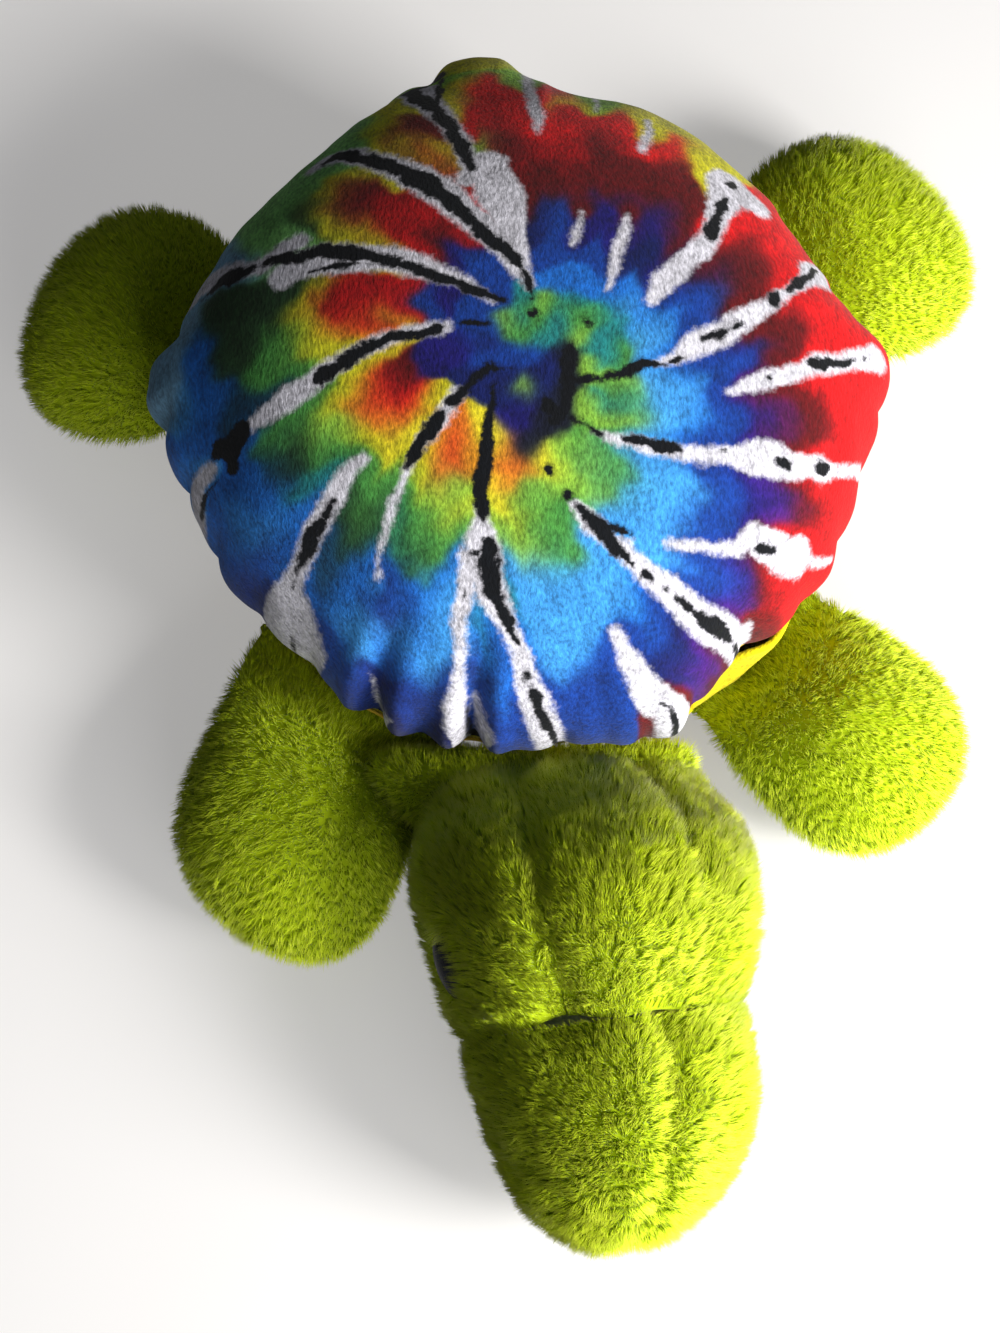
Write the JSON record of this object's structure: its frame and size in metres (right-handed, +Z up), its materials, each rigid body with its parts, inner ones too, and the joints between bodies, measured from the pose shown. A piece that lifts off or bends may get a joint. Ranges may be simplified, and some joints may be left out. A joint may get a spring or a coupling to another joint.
{
  "type": "plush turtle",
  "caption": "Stuffed turtle toy with a domed tie-dyed shell, yellow belly, green plush head and legs, and dark plastic eyes.",
  "frame": {"origin": "middle of the flat rest face under the belly", "axes": "+Z up, -Y towards the nose, +X the turtle's own left side"},
  "size_m": [0.2585, 0.3007, 0.092],
  "materials": {
    "tie_dye_velboa": "short velvety pile, tie-dyed in a spiral",
    "yellow_velboa": "short velvety pile",
    "green_plush": "soft lime-green pile, about 5 mm long",
    "polyester_filling": "loose white fibre",
    "sewing_thread": "twisted thread",
    "eye_plastic": "polished, near black",
    "washer_plastic": "plain moulded"
  },
  "bodies": {
    "body": {"shell_cover": "tie_dye_velboa", "belly_cover": "yellow_velboa", "body_stuffing": "polyester_filling", "rim_gathering_thread": "sewing_thread"},
    "neck": {"neck_cover": "green_plush", "neck_stuffing": "polyester_filling"},
    "head": {"head_crown_panel": "green_plush", "head_side_left": "green_plush", "head_side_right": "green_plush", "chin_panel": "green_plush", "muzzle_left": "green_plush", "muzzle_right": "green_plush", "head_stuffing": "polyester_filling", "eye_left": "eye_plastic", "eye_right": "eye_plastic", "eye_washer_left": "washer_plastic", "eye_washer_right": "washer_plastic"},
    "front_left_leg": {"front_left_leg_top": "green_plush", "front_left_leg_sole": "green_plush", "front_left_leg_stuffing": "polyester_filling"},
    "front_right_leg": {"front_right_leg_top": "green_plush", "front_right_leg_sole": "green_plush", "front_right_leg_stuffing": "polyester_filling"},
    "back_left_leg": {"back_left_leg_top": "green_plush", "back_left_leg_sole": "green_plush", "back_left_leg_stuffing": "polyester_filling"},
    "back_right_leg": {"back_right_leg_top": "green_plush", "back_right_leg_sole": "green_plush", "back_right_leg_stuffing": "polyester_filling"}
  },
  "joints": [
    {"name": "head_turn", "type": "hinge", "parent": "body", "child": "neck", "pos_m": [0, -0.09891, 0.028], "axis": [0, 0, 1], "range_deg": [-12, 12], "stiffness_Nm_per_rad": 0.25},
    {"name": "head_nod", "type": "hinge", "parent": "neck", "child": "head", "pos_m": [0, -0.09891, 0.028], "axis": [1, 0, 0], "range_deg": [-12, 18], "stiffness_Nm_per_rad": 0.25},
    {"name": "front_left_leg_flap", "type": "hinge", "parent": "body", "child": "front_left_leg", "pos_m": [0.05846, -0.06608, 0.0191], "axis": [-0.749, -0.6626, 0], "range_deg": [-15, 30], "stiffness_Nm_per_rad": 0.05},
    {"name": "front_right_leg_flap", "type": "hinge", "parent": "body", "child": "front_right_leg", "pos_m": [-0.05552, -0.06857, 0.0191], "axis": [-0.7771, 0.6293, 0], "range_deg": [-15, 30], "stiffness_Nm_per_rad": 0.05},
    {"name": "back_left_leg_flap", "type": "hinge", "parent": "body", "child": "back_left_leg", "pos_m": [0.07826, 0.04074, 0.0191], "axis": [0.4617, -0.887, 0], "range_deg": [-20, 35], "stiffness_Nm_per_rad": 0.05},
    {"name": "back_right_leg_flap", "type": "hinge", "parent": "body", "child": "back_right_leg", "pos_m": [-0.0779, 0.04142, 0.0191], "axis": [0.4695, 0.8829, 0], "range_deg": [-20, 35], "stiffness_Nm_per_rad": 0.05}
  ]
}
